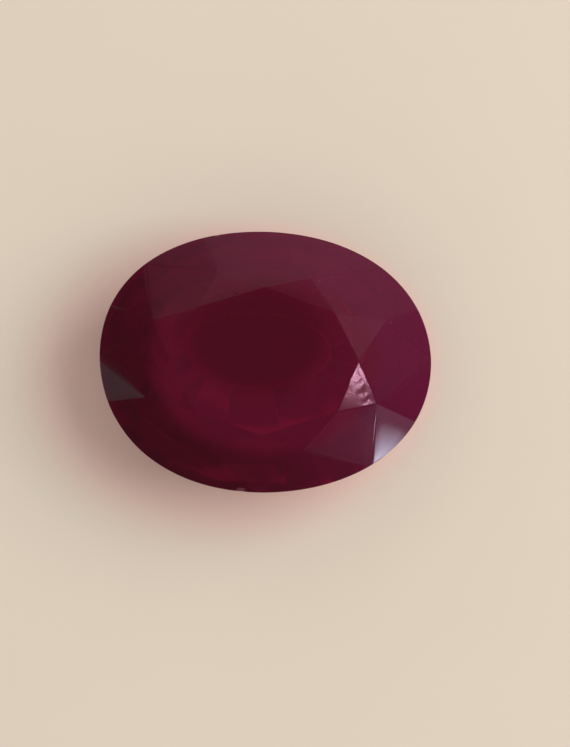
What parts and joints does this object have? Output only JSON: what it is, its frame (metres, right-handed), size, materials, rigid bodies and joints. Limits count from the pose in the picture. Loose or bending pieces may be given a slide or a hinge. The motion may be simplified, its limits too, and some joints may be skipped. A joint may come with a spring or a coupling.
{
  "type": "cut oval ruby",
  "caption": "Loose oval ruby with a flat table, a brilliant-cut crown of kite, star and girdle facets, a thin girdle and a stepped pavilion ending in a flat culet.",
  "frame": {"origin": "middle of the stone's box, on the level that its culet stands on", "axes": "+X along the long axis of the oval, +Y along its short axis, +Z out of the table, away from the culet"},
  "size_m": [0.009, 0.007, 0.004],
  "materials": {
    "ruby": "polished"
  },
  "bodies": {
    "root": {"ruby": "ruby"}
  },
  "joints": []
}
